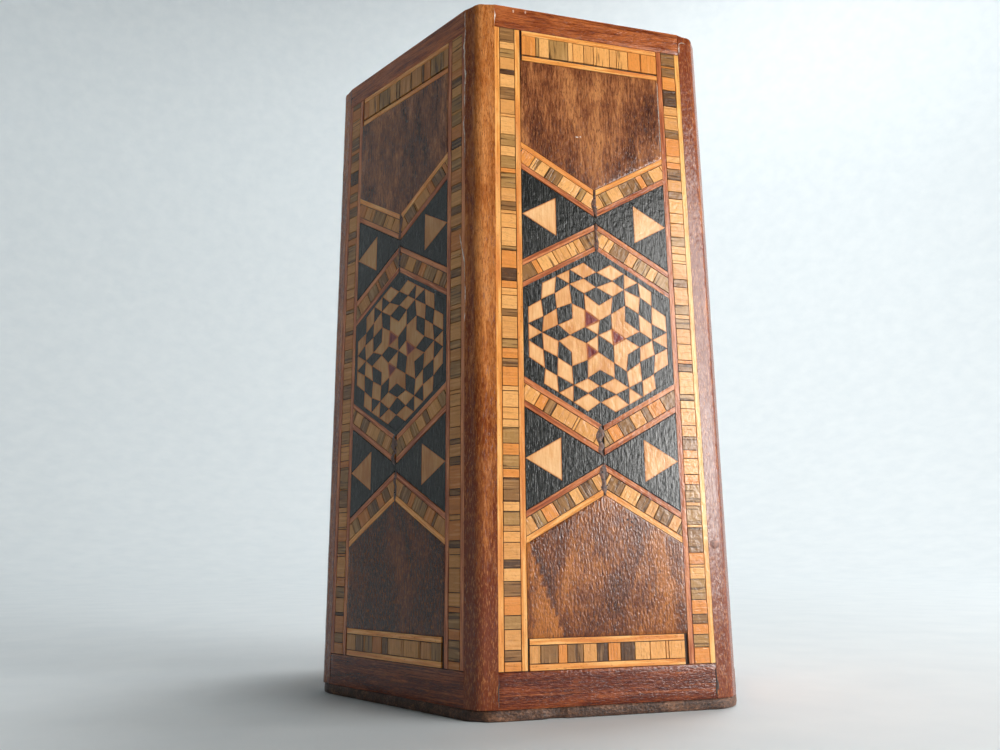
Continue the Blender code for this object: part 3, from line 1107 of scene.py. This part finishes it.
def ridge(name, path, width, height, seed):
    """A thin ragged ridge along a path on the bench. Each point of the path is X, Y, Z."""
    chance = random.Random(seed)
    points = [Vector(point) for point in path]
    fine = []
    for start, end in zip(points, points[1:]):
        count = max(1, round((end - start).length / RIDGE_PITCH))
        fine += [start.lerp(end, step / count) for step in range(count)]
    fine.append(points[-1])
    rings = []
    for index, point in enumerate(fine):
        ahead = fine[min(index + 1, len(fine) - 1)] - fine[max(index - 1, 0)]
        over = Vector((-ahead.y, ahead.x, 0)).normalized()
        taper = min(1.0, 0.15 + min(index, len(fine) - 1 - index) / 3)
        half = width / 2 * taper * (0.85 + 0.8 * noise.noise(point * 900 + Vector((0, 0, seed * 4.7))))
        middle = point + over * width * 0.5 * noise.noise(point * 1100 + Vector((0, 0, seed * 2.3)))
        crown = middle + Vector((0, 0, height * taper * chance.uniform(0.6, 1.2)))
        rings.append([middle - over * half, crown, middle + over * half, middle - LET_IN])
    return lofted(rings, name)


pale_glue = plain_finish("dried pale glue", shade(176, 158, 138), shade(232, 222, 208), 0.45, 2200.0)
bare_wood = plain_finish("chipped bare wood", shade(170, 118, 90), shade(212, 172, 146), 0.5, 3000.0)
dark_filler = plain_finish("dark filler", shade(30, 20, 15), shade(62, 44, 34), 0.6, 1500.0)
knot_wood = plain_finish("knot", shade(92, 44, 26), shade(166, 100, 68), 0.3, 1800.0)


def on_face(share, height):
    """A point of the near faces from its share of the side's width and its height in side widths."""
    return ((share - 0.5) * side_width, height * side_width, 0.0)


mends = [
    ("glue_rim_near", 1, [(0.074, 2.855), (0.075, 2.81), (0.074, 2.765)], 0.2, pale_glue),
    ("glue_rim_right", 1, [(0.931, 2.76), (0.932, 2.815), (0.945, 2.824), (0.965, 2.82)], 0.13, pale_glue),
    ("glue_veneer_right", 1, [(0.8135, 2.6), (0.8132, 2.45), (0.8135, 2.27)], 0.1, pale_glue),
    ("glue_joint_upper", 6, [(0.924, 2.855), (0.925, 2.75), (0.918, 2.68), (0.926, 2.55), (0.922, 2.4)], 0.26,
     pale_glue),
    ("glue_joint_middle", 6, [(0.925, 2.36), (0.914, 2.33), (0.924, 2.26), (0.925, 2.16)], 0.16, pale_glue),
    ("glue_joint_lower", 6, [(0.895, 1.84), (0.905, 1.79), (0.922, 1.72), (0.928, 1.6), (0.926, 1.45)], 0.16,
     pale_glue),
    ("filler_foot", 1, [(0.9255, 0.165), (0.9262, 0.1), (0.925, 0.045)], 0.34, dark_filler),
    ("filler_foot_near", 1, [(0.0745, 0.16), (0.0738, 0.1), (0.0745, 0.045)], 0.2, dark_filler),
    ("filler_left", 6, [(0.0755, 2.86), (0.076, 2.8), (0.0752, 2.76)], 0.18, dark_filler),
]
for order, (name, number, path, width, material) in enumerate(mends):
    mesh = ridge(name, [on_face(*point) for point in path], width * MM, RIDGE_HEIGHT, order)
    on_side(number, name, mesh, material, None)

brown_filler = plain_finish("brown filler", shade(40, 20, 12), shade(104, 60, 36), 0.3, 2600.0)
FILLER_PAST = 0.1 * MM                         # how far it runs past the arms' joint
FILLER_ASIDE = -0.3                            # how far left the wide one lies, in millimetres
chance = random.Random(5)
for number in range(1, SIDES + 1):
    for mitre, (inner_end, outer_end) in enumerate(((edging_point, edging_point + arm_depth),
                                                    (crossing_notch - arm_depth, crossing_notch))):
        for way in (1, -1):
            wide = way < 0 and mitre == 0
            levels = [inner_end - FILLER_PAST + (outer_end - inner_end + 2 * FILLER_PAST) * step / 3
                      for step in range(4)]
            aside = FILLER_ASIDE if wide else 0.0
            path = [((aside + chance.uniform(-0.15, 0.15)) * MM, rosette_middle + way * level, 0.0)
                    for level in levels]
            width = chance.uniform(1.2, 1.4) if wide else chance.uniform(0.55, 0.85)
            name = f"mitre_filler_{number}_{2 * mitre + (way > 0) + 1}"
            mesh = ridge(name, path, width * MM, FILLER_HEIGHT, number * 4 + mitre)
            on_side(number, name, mesh, brown_filler, None)


BLOB_STEPS = 14


def blob(name, middle, size, height, seed):
    """A low irregular lump on the bench, its rim let into the wood."""
    rings = []
    for share, level in ((1.0, -LET_IN.z), (1.0, 0.0), (0.7, height * 0.7), (0.3, height)):
        ring = []
        for step in range(BLOB_STEPS):
            out = spoke(2 * math.pi * step / BLOB_STEPS, 1.0)
            reach = share / 2 * (1 + 0.35 * noise.noise(Vector((out.x, out.y, seed * 5.3))))
            ring.append((middle[0] + out.x * size[0] * reach, middle[1] + out.y * size[1] * reach, level))
        rings.append(ring)
    return lofted(rings, name)


spots = [
    ("chip_rail_first", 1, (0.158, 2.842), (0.28, 0.6), bare_wood),
    ("chip_rail_second", 1, (0.212, 2.846), (0.24, 0.5), bare_wood),
    ("fleck_veneer", 1, (0.43, 2.287), (0.5, 0.16), pale_glue),
    ("fleck_veneer_second", 1, (0.446, 2.29), (0.22, 0.2), pale_glue),
    ("pit_first", 1, (0.59, 0.7), (0.4, 0.3), dark_filler),
    ("pit_second", 1, (0.607, 0.692), (0.3, 0.34), dark_filler),
    ("pit_third", 1, (0.623, 0.706), (0.34, 0.24), dark_filler),
    ("pit_fourth", 1, (0.603, 0.672), (0.24, 0.3), dark_filler),
    ("knot_bead", 1, (0.955, 0.607), (1.5, 1.1), knot_wood),
]
for order, (name, number, place, size, material) in enumerate(spots):
    mesh = blob(name, on_face(*place), (size[0] * MM, size[1] * MM), BLOB_HEIGHT, order)
    on_side(number, name, mesh, material, None)


# Room
# A plain pale floor that sweeps up all round into a pale wall, darker behind the camera. A large
# soft light and two smaller ones stand on the right, a weak warm one on the left, and one washes
# the wall behind the pot.

FLOOR_FLAT = 0.5
SWEEP = 0.6
WALL_TOP = 1.8
SWEEP_STEPS = 16
ROUND_STEPS = 96


def floor_sweep():
    profile = [(0.0, 0.0), (FLOOR_FLAT * 0.5, 0.0)]
    for step in range(SWEEP_STEPS + 1):
        angle = math.pi / 2 * step / SWEEP_STEPS
        profile.append((FLOOR_FLAT + SWEEP * math.sin(angle), SWEEP * (1 - math.cos(angle))))
    profile.append((FLOOR_FLAT + SWEEP, WALL_TOP))
    mesh = bpy.data.meshes.new("pale floor")
    mesh.from_pydata([(x, 0.0, z) for x, z in profile],
                     [(index, index + 1) for index in range(len(profile) - 1)], [])
    floor = bpy.data.objects.new("pale_floor", mesh)
    bpy.context.scene.collection.objects.link(floor)
    screw = floor.modifiers.new("sweep", "SCREW")
    screw.steps = ROUND_STEPS
    screw.render_steps = ROUND_STEPS
    screw.use_merge_vertices = True
    screw.merge_threshold = 0.00001
    screw.use_normal_calculate = True
    finish = Finish("pale paper")
    place = finish.place()
    fibres = finish.cloud(place, (60.0, 60.0, 60.0))
    colour = finish.ramp(fibres, [(0.3, shade(222, 229, 232)), (0.7, shade(228, 234, 236))])
    split = finish.node("ShaderNodeSeparateXYZ", {}, {"Vector": place})
    behind_camera = finish.band(split.out("Y"), 0.25, -0.15) * finish.band(split.out("Z"), 0.0, 0.2)
    colour = finish.mix(behind_camera, colour, shade(98, 100, 102))
    mesh.materials.append(finish.use(Base_Color=colour, Roughness=0.9))
    floor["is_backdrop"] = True


def soft_light(name, place, target, size, power, colour, spread=180, roll=0):
    lamp = bpy.data.lights.new(name, "AREA")
    lamp.spread = math.radians(spread)
    lamp.shape = "RECTANGLE"
    lamp.size, lamp.size_y = size
    lamp.energy = power
    lamp.color = colour
    light = bpy.data.objects.new(name, lamp)
    light.location = place
    light.visible_camera = False
    aim = (Vector(target) - Vector(place)).to_track_quat("-Z", "Y").to_matrix()
    light.rotation_euler = (aim @ Matrix.Rotation(math.radians(roll), 3, "Z")).to_euler()
    bpy.context.scene.collection.objects.link(light)


floor_sweep()
soft_light("window", (0.485, -0.505, 0.2), (0, 0, 0.05), (0.46, 0.38), 5.0, (1.0, 0.99, 0.97), roll=6)
soft_light("side window", (0.66, -0.2, 0.16), (0, 0, 0.05), (0.16, 0.36), 1.9, (1.0, 0.98, 0.96))
soft_light("low window", (0.325, -0.405, 0.065), (0, 0, 0.04), (0.16, 0.13), 0.62, (1.0, 0.98, 0.96), roll=25)
soft_light("warm fill", (-0.4, -0.6, 0.35), (0, 0, 0.05), (0.4, 0.4), 0.07, (1.0, 0.7, 0.3))
soft_light("wash", (0.4, 0.3, 1.05), (0.35, 0.7, 0.1), (0.5, 0.5), 6.8, (1.0, 1.0, 1.0), 170)
world = bpy.data.worlds.new("pale room")
world.use_nodes = True
world.node_tree.nodes["Background"].inputs["Color"].default_value = (0.86, 0.92, 1.0, 1.0)
world.node_tree.nodes["Background"].inputs["Strength"].default_value = 0.02
bpy.context.scene.world = world
bpy.context.scene.view_settings.view_transform = "Standard"


# Camera
# It stands close to the pot, a little to the left, near the foot, and looks slightly up.

PHOTO_WIDTH = 1000
FOCAL_PIXELS = 808.0
CAMERA_IN_SIDES = Vector((-1.180, -3.782, 0.566))
HEADING = math.radians(-14.75)
LOOKING_UP = math.radians(12.65)
ROLL = math.radians(-0.42)

camera_data = bpy.data.cameras.new("camera")
camera_data.sensor_width = 36.0
camera_data.lens = FOCAL_PIXELS / PHOTO_WIDTH * camera_data.sensor_width
camera_data.clip_start = 0.01
camera = bpy.data.objects.new("camera", camera_data)
camera.matrix_world = (Matrix.Translation(CAMERA_IN_SIDES * side_width) @ Matrix.Rotation(HEADING, 4, "Z")
                       @ Matrix.Rotation(math.pi / 2 + LOOKING_UP, 4, "X") @ Matrix.Rotation(ROLL, 4, "Z"))
bpy.context.scene.collection.objects.link(camera)
bpy.context.scene.camera = camera

low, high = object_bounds()
